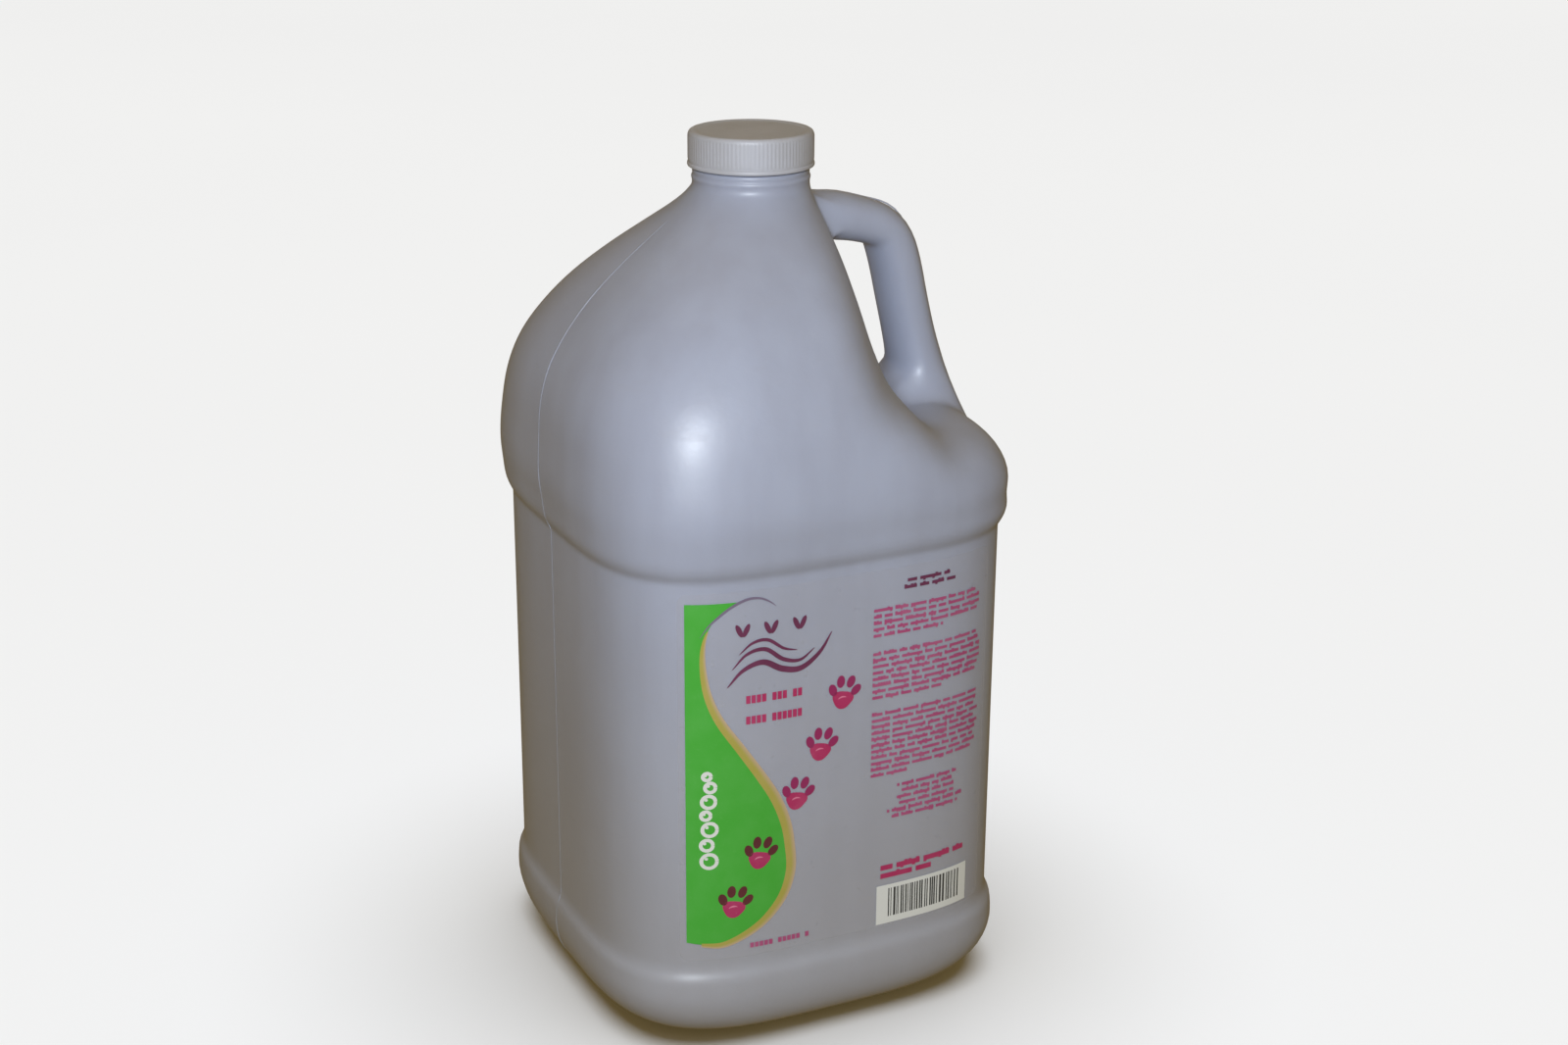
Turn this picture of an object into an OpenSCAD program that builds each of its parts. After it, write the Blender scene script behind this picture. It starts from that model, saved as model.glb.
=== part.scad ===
// One-gallon shampoo jug: a blow-moulded bottle with a hollow side handle, a threaded neck,
// a ribbed screw cap with its foam liner, and a clear film label on the front panel.
// Millimetres. The origin is the centre of the base, +Z is up, the handle is on +X and the
// label faces -Y. The mould's parting line lies in the plane Y = 0.

/* [Bottle body] */
// Width and depth across the flat label panels
panel_w = 143; // [120:1:172]
// Height of the step where the shoulder overhangs the label panel
panel_top = 163; // [136:1:196]
// Height of the shoulder, from that step up to the neck
dome_h = 107; // [89:1:128]
// How far the shoulder stands out past the label panel
shoulder_proud = 3.8; // [1:0.1:6]
// How far the bottom bumper stands out past the label panel
bumper_proud = 1.9; // [0.5:0.1:4]
// Height of the bottom bumper, up to where the label panel starts
bumper_h = 33; // [27:1:40]
// Height of the hollow pushed up into the base
base_hollow = 4; // [2:0.5:8]
// Wall thickness of the blown body and handle
wall = 1.2; // [0.8:0.1:2]

/* [Handle] */
// Thickness of the grip, from the palm side to the finger side
grip_t = 16.5; // [13:0.5:20]
// Width of the grip, from front to back
grip_w = 22; // [18:0.5:27]

/* [Neck finish] */
// Outer diameter of the wall that carries the thread
finish_d = 34.9; // [29:0.1:42]
// Thickness of that wall, round the pouring bore
finish_wall = 2.2; // [1.6:0.1:2.8]
// Height of the threaded part
finish_h = 9.6; // [8:0.1:14]
// How far the plain neck stands out past the threaded wall
neck_step = 1.55; // [1:0.05:2.5]
// Height of the plain neck, from the shoulder to the foot of the threaded part
neck_h = 6; // [5:0.5:12]
// How far the thread stands out of its wall
thread_depth = 1.25; // [0.8:0.05:1.5]
// Rise of the thread in one turn
thread_pitch = 4.233; // [3:0.001:5]
// Number of turns of thread on the neck
thread_turns = 1.4; // [1:0.1:1.6]

/* [Screw cap] */
// Wall thickness of the cap's skirt
cap_wall = 1.2; // [1:0.1:2]
// Thickness of the cap's top
cap_top = 1.3; // [1:0.1:2]
// Number of grip ribs round the cap
rib_count = 96; // [48:4:120]
// How far the ribs stand out of the skirt
rib_depth = 0.35; // [0.2:0.05:0.6]
// Thickness of the foam liner
liner_t = 0.9; // [0.6:0.1:1.5]
// Running clearance between the cap and the neck, and round the liner
cap_gap = 0.3; // [0.2:0.05:0.5]
// Gap between the foot of the cap and the top of the plain neck
skirt_gap = 0.4; // [0.2:0.1:1]

/* [Front label] */
// Width of the film label
label_w = 110; // [80:1:132]
// Bare strip of panel under the step, above the label
label_gap = 1; // [0:0.5:20]
// Thickness of the film
label_t = 0.25; // [0.15:0.05:0.5]

/* [Hidden] */
// Facets round the bottle, round the handle, and rings along each curved stretch
ROUND_FACETS = 48;
HANDLE_FACETS = 20;
HANDLE_RINGS = 26;
$fn = 96;
// A small overlap for cuts that must break through a face
CUT = 0.5;

milky = "#c3c4cf";
cap_white = "#e9e7dd";
foam_white = "#f7f7f4";
film_clear = "#d9dccf";

panel_half = panel_w / 2;
shoulder_half = panel_half + shoulder_proud;
bumper_half = panel_half + bumper_proud;
neck_r = finish_d / 2 + neck_step;
bore_r = finish_d / 2 - finish_wall;
neck_foot = panel_top + dome_h;
finish_foot = neck_foot + neck_h;
finish_top = finish_foot + finish_h;
cap_foot = finish_foot + skirt_gap;
liner_foot = finish_top;
cap_ceiling = liner_foot + liner_t;
cap_bore_r = finish_d / 2 + thread_depth + cap_gap;
cap_r = cap_bore_r + cap_wall;
step_run = 2;
label_foot = bumper_h;
label_h = panel_top - step_run - label_gap - label_foot;
// The thread: flank slope, facets in a turn, facets over which an end fades, and crest width
THREAD_FLANK = 30;
THREAD_FACETS = 30;
THREAD_RUNOUT = 3;
crest_width = 0.9;
// The ridge starts one half of its own width above the foot of the threaded part
thread_foot = finish_foot + crest_width / 2 + (thread_depth + cap_gap) * tan(THREAD_FLANK);
// The cap's ridge lies under the neck's, so far below it that the flanks clear each other
ridge_overlap = thread_depth - cap_gap;
thread_offset = crest_width + ridge_overlap * tan(THREAD_FLANK) + cap_gap;
// The cap's ridge starts where it has room above the foot of the cap
CAP_THREAD_START = 200;
cap_thread_turns = 1.2;

// ---- Curves that run smoothly through a few chosen points ----

function last(v) = v[len(v) - 1];
// Which span of the table holds x, where column 0 rises
function span(table, x) = max([for (i = [0 : len(table) - 2]) if (i == 0 || table[i][0] <= x) i]);
// Slope of the curve at row i, from its neighbours
function slope(table, i, k) =
    let (a = table[max(i - 1, 0)], b = table[min(i + 1, len(table) - 1)])
    (b[k] - a[k]) / (b[0] - a[0]);
// Column k of a smooth curve through the rows, at x
function smooth(table, x, k) =
    let (i = span(table, x), p = table[i], q = table[i + 1], w = q[0] - p[0], t = (x - p[0]) / w)
    p[k] * (1 + 2 * t) * pow(1 - t, 2) + q[k] * t * t * (3 - 2 * t)
    + w * t * (1 - t) * ((1 - t) * slope(table, i, k) - t * slope(table, i + 1, k));

// ---- The body's outline, level by level ----

// Rows up the body: height, then how far it reaches to the left, to the right and to the front
// and back, then how square it is on the left and on the right, where 2 is round
function level(z, reach, square) = [z, reach, reach, reach, square, square];
function dome_level(row) =
    let (room = shoulder_half - neck_r)
    [panel_top + row[0] * dome_h, neck_r + row[1] * room, neck_r + row[2] * room,
     neck_r + row[3] * room, row[4], row[5]];
base_levels = [
    level(0, bumper_half - 15, 3.4),
    level(2.5, bumper_half - 8.5, 3.6),
    level(9, bumper_half - 2.4, 3.8),
    level(17, bumper_half, 4),
    level(bumper_h - 11, bumper_half, 4),
    level(bumper_h - 5, panel_half + bumper_proud * 0.4, 4),
    level(bumper_h, panel_half, 4)
];
step_levels = [
    level(panel_top - step_run, panel_half, 4),
    level(panel_top + 1, panel_half + shoulder_proud * 0.2, 4),
    level(panel_top + 4.5, panel_half + shoulder_proud * 0.7, 4)
];
// The shoulder as shares of its height and of the room between neck and shoulder
dome_shares = [
    [0.09, 0.98, 0.97, 0.98, 4.0, 3.9],
    [0.17, 1.00, 1.00, 1.00, 3.8, 3.5],
    [0.27, 0.99, 0.86, 0.98, 3.7, 3.2],
    [0.42, 0.98, 0.35, 0.92, 3.4, 2.2],
    [0.54, 0.89, 0.22, 0.83, 3.2, 2.0],
    [0.68, 0.70, 0.15, 0.66, 2.9, 2.0],
    [0.79, 0.48, 0.11, 0.46, 2.6, 2.0],
    [0.89, 0.24, 0.06, 0.24, 2.2, 2.0],
    [0.95, 0.09, 0.02, 0.09, 2.0, 2.0],
    [1.00, 0.00, 0.00, 0.00, 2.0, 2.0]
];
levels = concat(base_levels, step_levels, [for (row = dome_shares) dome_level(row)]);

base_heights = [0, 1, 2.5, 5, 9, 13, 17, bumper_h - 11, bumper_h - 7, bumper_h - 3.5, bumper_h];
step_heights = [for (z = [-step_run, 0, 1.5, 3, 4.5, 7]) panel_top + z];
dome_heights = [for (share = [0.1 : 0.045 : 0.96]) panel_top + share * dome_h];
body_heights = concat(base_heights, step_heights, dome_heights, [neck_foot]);

// One point of a rounded outline: reach to the left, right and front, and its squareness
function outline_point(a, left, right, front, square_left, square_right) =
    let (c = cos(a), s = sin(a), n = c < 0 ? square_left : square_right, reach = c < 0 ? left : right)
    [reach * sign(c) * pow(abs(c), 2 / n), front * sign(s) * pow(abs(s), 2 / n)];
// A level outline of the body at height z, drawn inset by the wall
function ring(z, inset, lift = 0) =
    let (v = [for (k = [1 : 5]) smooth(levels, z, k)])
    [for (i = [0 : ROUND_FACETS - 1])
        let (p = outline_point(i * 360 / ROUND_FACETS, v[0] - inset, v[1] - inset, v[2] - inset, v[3], v[4]))
        [p[0], p[1], z + lift]];
// The outline of the hollow in the base, between its rim and its roof
function base_ring(reach, z) =
    [for (i = [0 : ROUND_FACETS - 1])
        let (p = outline_point(i * 360 / ROUND_FACETS, reach, reach, reach, 3, 3)) [p[0], p[1], z]];

// A solid skin over closed rings that all have the same number of points, listed upwards
module skin(rings) {
    n = len(rings[0]);
    sides = [for (r = [0 : len(rings) - 2], i = [0 : n - 1])
        let (a = r * n + i, b = r * n + (i + 1) % n)
        each [[a, a + n, b], [b, a + n, b + n]]];
    floor_face = [[for (i = [0 : n - 1]) i]];
    roof_face = [[for (i = [n - 1 : -1 : 0]) (len(rings) - 1) * n + i]];
    polyhedron([for (r = rings) each r], concat(sides, floor_face, roof_face), convexity = 8);
}

module body_outside() {
    hollow_reach = bumper_half - 26;
    skin(concat([base_ring(hollow_reach, base_hollow), base_ring(hollow_reach + 7, 0)],
        [for (z = body_heights) ring(z, 0)]));
}

module body_inside() {
    floor_reach = bumper_half - 26;
    skin(concat([base_ring(floor_reach, base_hollow + wall), base_ring(floor_reach + 7, wall)],
        [for (z = body_heights) if (z < neck_foot) ring(z, wall, z < wall ? wall : 0)],
        [ring(neck_foot, wall), ring(neck_foot, wall, CUT)]));
}

// ---- Handle ----

// Rows along the handle: share of its length, place as shares of the room between neck and
// shoulder and of the shoulder's height, then half its thickness and half its width
handle_shares = [
    [0.00, -0.10, 0.890, 0.60, 0.45],
    [0.10, 0.12, 0.888, 0.52, 0.45],
    [0.20, 0.33, 0.872, 0.46, 0.46],
    [0.28, 0.50, 0.832, 0.46, 0.48],
    [0.36, 0.585, 0.752, 0.47, 0.50],
    [0.50, 0.655, 0.610, 0.47, 0.50],
    [0.63, 0.715, 0.480, 0.48, 0.51],
    [0.74, 0.760, 0.380, 0.54, 0.58],
    [0.82, 0.745, 0.310, 0.78, 0.78],
    [0.90, 0.670, 0.240, 1.15, 1.10],
    [1.00, 0.480, 0.150, 1.60, 1.50]
];
function handle_centre(u) =
    [neck_r + smooth(handle_shares, u, 1) * (shoulder_half - neck_r), panel_top + smooth(handle_shares, u, 2) * dome_h];
function handle_ring(u, inset) =
    let (
        c = handle_centre(u),
        step = 0.01,
        d = handle_centre(min(u + step, 1)) - handle_centre(max(u - step, 0)),
        across = [-d[1], d[0]] / norm(d),
        thick = smooth(handle_shares, u, 3) * grip_t - inset,
        wide = smooth(handle_shares, u, 4) * grip_w - inset
    )
    [for (i = [0 : HANDLE_FACETS - 1])
        let (a = i * 360 / HANDLE_FACETS, t = thick * cos(a))
        [c[0] + across[0] * t, -wide * sin(a), c[1] + across[1] * t]];
module handle_tube(inset) {
    skin([for (k = [0 : HANDLE_RINGS]) handle_ring(k / HANDLE_RINGS, inset)]);
}

module bottle_body() {
    color(milky)
    resize([0, 0, 0])
    difference() {
        body_outside();
        body_inside();
        handle_tube(wall);
    }
}

module handle() {
    color(milky)
    resize([0, 0, 0])
    difference() {
        handle_tube(0);
        handle_tube(wall);
        body_outside();
    }
}

// ---- Neck finish ----

// The closed helical ridge of a thread, from a start angle for a number of turns. Its root is
// sunk into the wall it stands on, and it runs out to nothing at both ends.
module thread_ridge(root_r, crest_r, foot, start, turns) {
    sunk = 0.3;
    outward = sign(crest_r - root_r);
    half_root = crest_width / 2 + (abs(crest_r - root_r) + sunk) * tan(THREAD_FLANK);
    steps = round(turns * THREAD_FACETS);
    skin([for (k = [0 : steps])
        let (
            a = start + k * 360 / THREAD_FACETS,
            z = foot + thread_pitch * a / 360,
            fade = min(1, k / THREAD_RUNOUT, (steps - k) / THREAD_RUNOUT),
            root = root_r - outward * sunk,
            crest = root_r + (crest_r - root_r) * fade,
            ridge = [[crest, crest_width / 2], [root, half_root], [root, -half_root], [crest, -crest_width / 2]],
            turned = outward > 0 ? [for (i = [1, 0, 3, 2]) ridge[i]] : ridge
        )
        [for (p = turned) [p[0] * cos(a), p[0] * sin(a), z + p[1]]]]);
}

module neck_finish() {
    lead_in = 0.6;
    bead = 0.6;
    bead_foot = finish_foot - 4;
    funnel = 3;
    color(milky) {
        rotate_extrude()
            polygon([
                [neck_r - wall, neck_foot],
                [neck_r, neck_foot],
                [neck_r, bead_foot],
                [neck_r + bead, bead_foot + bead],
                [neck_r + bead, bead_foot + 2 * bead],
                [neck_r, bead_foot + 3 * bead],
                [neck_r, finish_foot - lead_in],
                [neck_r - lead_in, finish_foot],
                [finish_d / 2, finish_foot],
                [finish_d / 2, finish_top - lead_in],
                [finish_d / 2 - lead_in, finish_top],
                [bore_r, finish_top],
                [bore_r, neck_foot + funnel]
            ]);
        thread_ridge(finish_d / 2, finish_d / 2 + thread_depth, thread_foot, 0, thread_turns);
    }
}

// ---- Screw cap ----

module cap_ribs(height) {
    rib_step = 360 / rib_count;
    valley = cap_r - 0.05;
    linear_extrude(height)
        difference() {
            polygon([for (i = [0 : rib_count - 1], p = [[-0.32, 0], [-0.14, 1], [0.14, 1], [0.32, 0]])
                let (a = (i + p[0]) * rib_step, r = valley + p[1] * (rib_depth + cap_r - valley))
                [r * cos(a), r * sin(a)]]);
            circle(cap_r - cap_wall / 2);
        }
}

module screw_cap() {
    foot_band = 0.8;
    edge = 0.9;
    cap_height = cap_ceiling + cap_top - cap_foot;
    color(cap_white) {
        rotate_extrude()
            polygon([
                [cap_bore_r, cap_foot],
                [cap_r, cap_foot],
                [cap_r, cap_foot + cap_height - edge],
                [cap_r - edge * 0.3, cap_foot + cap_height - edge * 0.3],
                [cap_r - edge, cap_foot + cap_height],
                [0, cap_foot + cap_height],
                [0, cap_ceiling],
                [cap_bore_r, cap_ceiling]
            ]);
        translate([0, 0, cap_foot + foot_band])
            cap_ribs(cap_height - foot_band - 1.6 * edge);
        thread_ridge(cap_bore_r, cap_bore_r - thread_depth, thread_foot - thread_offset, CAP_THREAD_START,
            cap_thread_turns);
    }
}

module cap_liner() {
    color(foam_white)
    translate([0, 0, liner_foot])
        cylinder(r = cap_bore_r - cap_gap, h = liner_t);
}

// ---- Front label ----

// The panel's outline where the label lies, standing off it by the given distance
function panel_line(off) =
    [for (i = [ROUND_FACETS / 2 + 1 : ROUND_FACETS - 1])
        outline_point(i * 360 / ROUND_FACETS, panel_half + off, panel_half + off, panel_half + off, 4, 4)];
function reversed(v) = [for (i = [len(v) - 1 : -1 : 0]) v[i]];

module front_label() {
    color(film_clear)
    intersection() {
        translate([0, 0, label_foot])
            linear_extrude(label_h)
                polygon(concat(panel_line(0), reversed(panel_line(label_t))));
        translate([-label_w / 2, -panel_w, label_foot - CUT])
            cube([label_w, panel_w, label_h + 2 * CUT]);
    }
}

bottle_body();
handle();
neck_finish();
screw_cap();
cap_liner();
front_label();
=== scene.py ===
"""A one-gallon pet shampoo jug: milky shell with a hollow side handle, screw cap and printed film.

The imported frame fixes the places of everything. Sizes are in millimetres, in the frame's own axes:
+Z up from the centre of the base, the handle on the +X side and the label on the -Y side.
"""

import logging
import math
import random
from dataclasses import dataclass
from enum import Enum
from typing import Callable, Optional, Sequence

import bmesh
import bpy
from mathutils import Matrix, Vector


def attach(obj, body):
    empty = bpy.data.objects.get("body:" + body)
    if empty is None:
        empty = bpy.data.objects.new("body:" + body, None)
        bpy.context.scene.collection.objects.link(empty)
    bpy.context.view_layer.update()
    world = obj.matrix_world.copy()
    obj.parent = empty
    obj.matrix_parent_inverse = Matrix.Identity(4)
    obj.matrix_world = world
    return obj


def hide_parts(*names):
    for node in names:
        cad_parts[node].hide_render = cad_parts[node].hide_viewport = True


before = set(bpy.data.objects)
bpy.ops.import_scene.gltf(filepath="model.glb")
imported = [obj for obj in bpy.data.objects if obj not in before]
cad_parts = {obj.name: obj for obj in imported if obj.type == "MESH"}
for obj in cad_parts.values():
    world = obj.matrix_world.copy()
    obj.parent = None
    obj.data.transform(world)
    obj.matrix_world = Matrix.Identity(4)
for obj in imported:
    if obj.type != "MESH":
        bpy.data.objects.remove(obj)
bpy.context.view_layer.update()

MM = 0.001
LOG = logging.getLogger("jug")

# Sockets of a Mix node that blends colours
MIX_SHARE, MIX_LOW, MIX_HIGH, MIX_COLOUR = 0, 6, 7, 2

# The 38 mm screw finish: foot of the threaded wall, slope of a flank in degrees, height of the
# thread's start, and its pitch
FINISH_FOOT = 276.0
FLANK_ANGLE = 30.0
THREAD_FOOT = FINISH_FOOT + 0.45 + 1.55 * math.tan(math.radians(FLANK_ANGLE))
THREAD_PITCH = 4.233

# The square of the panels: half its width, and the power of its rounded outline
PANEL_HALF = 71.5
PANEL_SQUARE = 4.0

Place = Callable[[int], Vector]
Point = tuple[float, float]


class Body(Enum):
    """The bodies that pieces ride on."""

    BOTTLE = "bottle"
    LINER = "liner"
    CAP = "cap"


class Slot(Enum):
    """The record's material slots."""

    SHELL = "milky_hdpe"
    CAP = "white_cap"
    LINER = "liner_foam"
    LABEL = "label_film"


# ---- Curves ----


def through(table: Sequence[Sequence[float]], x: float, column: int) -> float:
    """A smooth cubic through the rows of a table.

    Args:
        table: rows whose first entry rises.
        x: where to read it.
        column: which entry of a row to follow.

    Returns:
        The smoothed entry at x.
    """

    def slope(i: int) -> float:
        """Slope at row i, from its neighbours."""
        low, high = table[max(i - 1, 0)], table[min(i + 1, len(table) - 1)]
        return (high[column] - low[column]) / (high[0] - low[0])

    i = max([k for k in range(len(table) - 1) if k == 0 or table[k][0] <= x])
    low, high = table[i], table[i + 1]
    width = high[0] - low[0]
    t = (x - low[0]) / width
    start = low[column] * (1 + 2 * t) * (1 - t) ** 2
    end = high[column] * t * t * (3 - 2 * t)
    return start + end + width * t * (1 - t) * ((1 - t) * slope(i) - t * slope(i + 1))


def along(points: Sequence[Point], t: float) -> Vector:
    """The point a share t of the way along a smooth line through points, as (x, z)."""
    rows = [(i, *p) for i, p in enumerate(points)]
    x = min(max(t, 0.0), 1.0) * (len(points) - 1)
    return Vector((through(rows, x, 1), through(rows, x, 2)))


def across(points: Sequence[Point], t: float) -> Vector:
    """The unit normal, to the left of the line's direction, a share t of the way along it."""
    step = 0.004
    run = along(points, t + step) - along(points, t - step)
    return Vector((-run.y, run.x)).normalized()


# ---- The bench: pieces are started, grown, placed and finished here ----


def put_down() -> None:
    """Leave edit mode and deselect everything."""
    if bpy.context.object and bpy.context.object.mode != "OBJECT":
        bpy.ops.object.mode_set(mode="OBJECT")
    bpy.ops.object.select_all(action="DESELECT")


def pick_up(piece: bpy.types.Object) -> None:
    """Make one piece the only selected and active one."""
    put_down()
    piece.select_set(True)
    bpy.context.view_layer.objects.active = piece


def join(pieces: Sequence[bpy.types.Object], name: str) -> bpy.types.Object:
    """Join pieces into the first one and name it."""
    pick_up(pieces[0])
    for piece in pieces[1:]:
        piece.select_set(True)
    bpy.ops.object.join()
    pieces[0].name = name
    return pieces[0]


def modify(piece: bpy.types.Object, kind: str, **settings: object) -> None:
    """Add one modifier and apply it.

    Args:
        piece: the piece to change.
        kind: Blender's name for the modifier's type.
        settings: the modifier's own settings.
    """
    pick_up(piece)
    modifier = piece.modifiers.new(kind.title(), kind)
    for key, value in settings.items():
        setattr(modifier, key, value)
    bpy.ops.object.modifier_apply(modifier=modifier.name)


def smooth(piece: bpy.types.Object, angle: float = 35.0) -> None:
    """Shade a piece smooth, with edges above the angle in degrees kept sharp."""
    pick_up(piece)
    bpy.ops.object.shade_smooth_by_angle(angle=math.radians(angle))
    put_down()


def dress(
    piece: bpy.types.Object,
    finish: bpy.types.Material,
    body: Body,
    slot: Slot,
) -> bpy.types.Object:
    """Give a finished piece its material and its body.

    Args:
        piece: a mesh that is in place.
        finish: the material for all of it.
        body: what it rides on.
        slot: the record's material slot; not used.

    Returns:
        The same piece.
    """
    piece.data.materials.clear()
    piece.data.materials.append(finish)
    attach(piece, body.value)
    LOG.info("%s: %d faces on %s", piece.name, len(piece.data.polygons), body.value)
    return piece


class Loft:
    """A mesh grown ring by ring: each ring is extruded from the one before and set in place."""

    def __init__(self, name: str, columns: int, place: Place) -> None:
        """Start with one ring of points.

        Args:
            name: the piece's name.
            columns: points in a ring, a multiple of four.
            place: where each column's point goes, in millimetres.
        """
        put_down()
        bpy.ops.mesh.primitive_circle_add(vertices=columns, radius=1.0, location=(0, 0, 0))
        self.piece = bpy.context.active_object
        self.piece.name = name
        self.row = 0
        bpy.ops.object.mode_set(mode="EDIT")
        bpy.ops.mesh.select_mode(type="VERT")
        mesh = self.mesh
        mesh.verts.layers.int.new("column")
        mesh.verts.layers.int.new("row")
        for vert in mesh.verts:
            turn = math.atan2(vert.co.y, vert.co.x) / math.tau
            vert[self.column_of] = round(turn * columns) % columns
        self.set_down(place)

    @property
    def mesh(self) -> bmesh.types.BMesh:
        """The mesh in edit mode."""
        return bmesh.from_edit_mesh(self.piece.data)

    @property
    def column_of(self) -> bmesh.types.BMLayerItem:
        """The layer that holds each point's column."""
        return self.mesh.verts.layers.int["column"]

    @property
    def row_of(self) -> bmesh.types.BMLayerItem:
        """The layer that holds each point's row."""
        return self.mesh.verts.layers.int["row"]

    def set_down(self, place: Place) -> None:
        """Put the selected points in place, by their column."""
        mesh, column, row = self.mesh, self.column_of, self.row_of
        for vert in mesh.verts:
            if vert.select:
                vert.co = place(vert[column]) * MM
                vert[row] = self.row
        bmesh.update_edit_mesh(self.piece.data)

    def grow(self, place: Place) -> None:
        """Extrude the selected ring and put the new one in place."""
        bpy.ops.mesh.extrude_region_move()
        self.row += 1
        self.set_down(place)

    def choose(self, wanted: Callable[[int, int], bool]) -> None:
        """Select only the points whose column and row are wanted."""
        bpy.ops.mesh.select_all(action="DESELECT")
        mesh, column, row = self.mesh, self.column_of, self.row_of
        for vert in mesh.verts:
            vert.select = wanted(vert[column], vert[row])
        mesh.select_flush_mode()
        bmesh.update_edit_mesh(self.piece.data)

    def close(self, row: int) -> None:
        """Draw one end ring together into its centre point."""
        self.choose(lambda _, r: r == row)
        bpy.ops.mesh.merge(type="CENTER")

    def cap_ends(self) -> None:
        """Close the first and the last ring with a face each, and turn the faces outwards."""
        for end in (0, self.row):
            self.choose(lambda _, r: r == end)
            bpy.ops.mesh.edge_face_add()
        self.outward()

    def outward(self) -> None:
        """Turn all faces outwards."""
        bpy.ops.mesh.select_all(action="SELECT")
        bpy.ops.mesh.normals_make_consistent(inside=False)

    def finished(self) -> bpy.types.Object:
        """Leave edit mode and hand the piece over."""
        put_down()
        return self.piece


def turned(radius: float, height: float, columns: int) -> Place:
    """The place of each column on a round ring."""

    def place(column: int) -> Vector:
        """One point of the ring."""
        a = math.tau * column / columns
        return Vector((radius * math.cos(a), radius * math.sin(a), height))

    return place


# ---- Shader maths ----


class Signal:
    """A value in a shader, which can be written with as a number."""

    def __init__(self, paint: "Paint", socket: bpy.types.NodeSocket) -> None:
        """Wrap an output socket of a material's nodes."""
        self.paint = paint
        self.socket = socket

    def maths(self, operation: str, *values: object) -> "Signal":
        """One Math node on these values."""
        inputs = dict(enumerate(values))
        node = self.paint.add("ShaderNodeMath", {"operation": operation}, inputs)
        return Signal(self.paint, node.outputs[0])

    def __add__(self, other: object) -> "Signal":
        """self + other."""
        return self.maths("ADD", self, other)

    def __radd__(self, other: object) -> "Signal":
        """other + self."""
        return self.maths("ADD", other, self)

    def __sub__(self, other: object) -> "Signal":
        """self - other."""
        return self.maths("SUBTRACT", self, other)

    def __rsub__(self, other: object) -> "Signal":
        """other - self."""
        return self.maths("SUBTRACT", other, self)

    def __mul__(self, other: object) -> "Signal":
        """self * other."""
        return self.maths("MULTIPLY", self, other)

    def __rmul__(self, other: object) -> "Signal":
        """other * self."""
        return self.maths("MULTIPLY", other, self)

    def step(self, low: float, high: float) -> "Signal":
        """0 below low, 1 above high, smooth between."""
        node = self.paint.add(
            "ShaderNodeMapRange",
            {"interpolation_type": "SMOOTHSTEP"},
            {"Value": self, "From Min": low, "From Max": high},
        )
        return Signal(self.paint, node.outputs["Result"])


class Paint:
    """One material's nodes, round a Principled shader."""

    def __init__(self, name: str) -> None:
        """Start an empty material."""
        self.material = bpy.data.materials.new(name)
        self.material.use_nodes = True
        self.tree = self.material.node_tree
        self.tree.nodes.clear()
        self.shader = self.add("ShaderNodeBsdfPrincipled")
        output = self.add("ShaderNodeOutputMaterial")
        self.tree.links.new(self.shader.outputs[0], output.inputs["Surface"])
        self.spot = self.add("ShaderNodeTexCoord")

    def add(
        self,
        kind: str,
        settings: Optional[dict[str, object]] = None,
        inputs: Optional[dict[object, object]] = None,
    ) -> bpy.types.Node:
        """Add one node.

        Args:
            kind: Blender's name for the node's type.
            settings: its settings, which are set first.
            inputs: values, signals or sockets for its inputs.

        Returns:
            The node.
        """
        node = self.tree.nodes.new(kind)
        for key, value in (settings or {}).items():
            setattr(node, key, value)
        for key, value in (inputs or {}).items():
            self.feed(node.inputs[key], value)
        return node

    def feed(self, socket: bpy.types.NodeSocket, value: object) -> None:
        """Set a socket to a number or colour, or link a signal to it."""
        if isinstance(value, Signal):
            value = value.socket
        if isinstance(value, bpy.types.NodeSocket):
            self.tree.links.new(value, socket)
        elif isinstance(value, tuple) and len(value) == 3 and socket.type == "RGBA":
            socket.default_value = (*value, 1.0)
        else:
            socket.default_value = value

    def set(self, **values: object) -> None:
        """Set the shader's sockets, with _ for a space in their names."""
        for key, value in values.items():
            self.feed(self.shader.inputs[key.replace("_", " ")], value)

    def noise(self, scale: float, detail: float = 2.0, squash: Point = (1.0, 1.0)) -> Signal:
        """Even noise round 0.5 on the piece's own coordinates.

        Args:
            scale: features in a metre.
            detail: how many finer layers it has.
            squash: how much the noise is drawn out sideways and upright.
        """
        stretch = (squash[0], squash[0], squash[1])
        at = self.add(
            "ShaderNodeMapping", {}, {"Vector": self.spot.outputs["Object"], "Scale": stretch}
        )
        node = self.add(
            "ShaderNodeTexNoise",
            {},
            {"Vector": at.outputs[0], "Scale": scale, "Detail": detail},
        )
        return Signal(self, node.outputs["Fac"])

    def axis(self, name: str, source: str = "Object") -> Signal:
        """One coordinate of the piece, in metres, or of its own map."""
        node = self.add("ShaderNodeSeparateXYZ", {}, {0: self.spot.outputs[source]})
        return Signal(self, node.outputs[name])

    def mix(self, share: object, low: object, high: object) -> bpy.types.NodeSocket:
        """A colour between low and high, by their share."""
        ends = {MIX_SHARE: share, MIX_LOW: low, MIX_HIGH: high}
        return self.add("ShaderNodeMix", {"data_type": "RGBA"}, ends).outputs[MIX_COLOUR]

    def relief(self, height: Signal, strength: float, depth: float) -> None:
        """Feed a bump of this strength and depth in metres to the shader."""
        node = self.add(
            "ShaderNodeBump", {}, {"Height": height, "Strength": strength, "Distance": depth}
        )
        self.set(Normal=node.outputs[0])


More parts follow.
